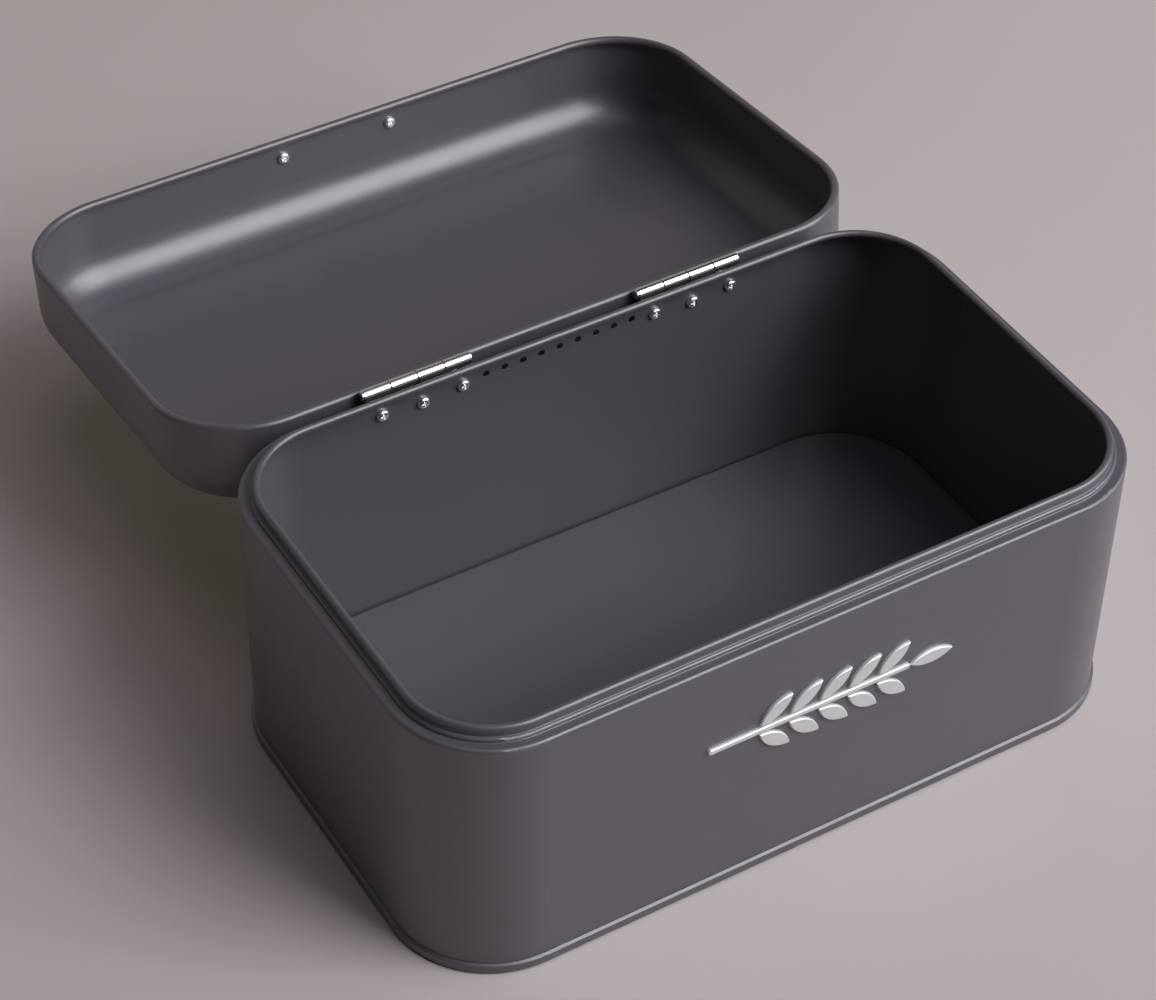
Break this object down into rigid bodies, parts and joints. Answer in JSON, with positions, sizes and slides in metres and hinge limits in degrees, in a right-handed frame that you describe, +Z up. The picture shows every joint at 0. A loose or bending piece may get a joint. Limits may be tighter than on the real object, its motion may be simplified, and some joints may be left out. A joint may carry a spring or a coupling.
{
  "type": "bread bin",
  "caption": "Rounded rectangular sheet-steel bread bin with an open hinged lid, rolled rim, vent holes and a raised wheat sprig on the front.",
  "frame": {"origin": "centre of the base outline, on the table surface the bin stands on", "axes": "+Z up, +X to the right seen from the front, front wall with the sprig faces -Y, hinges and open lid at +Y"},
  "size_m": [0.423, 0.5304, 0.1669],
  "materials": {
    "grey_paint": "satin powder coat",
    "hinge_chrome": "polished plating",
    "fastener_steel": "bright plating",
    "sprig_silver": "fine satin silver"
  },
  "bodies": {
    "bin": {"body_shell": "grey_paint", "base_panel": "grey_paint", "hinge_left_body_leaf": "hinge_chrome", "hinge_left_pin": "hinge_chrome", "hinge_left_body_screws": "fastener_steel", "hinge_left_body_nuts": "fastener_steel", "hinge_right_body_leaf": "hinge_chrome", "hinge_right_pin": "hinge_chrome", "hinge_right_body_screws": "fastener_steel", "hinge_right_body_nuts": "fastener_steel", "sprig_stem": "sprig_silver", "sprig_upper_grains": "sprig_silver", "sprig_lower_grains": "sprig_silver", "sprig_tip": "sprig_silver"},
    "lid": {"lid_shell": "grey_paint", "handle": "hinge_chrome", "handle_screws": "fastener_steel", "hinge_left_lid_leaf": "hinge_chrome", "hinge_left_lid_screws": "fastener_steel", "hinge_left_lid_nuts": "fastener_steel", "hinge_right_lid_leaf": "hinge_chrome", "hinge_right_lid_screws": "fastener_steel", "hinge_right_lid_nuts": "fastener_steel"}
  },
  "joints": [
    {"name": "lid_hinge", "type": "hinge", "parent": "bin", "child": "lid", "pos_m": [0, 0.1294, 0.1601], "axis": [1, 0, 0], "range_deg": [0, 186]}
  ]
}
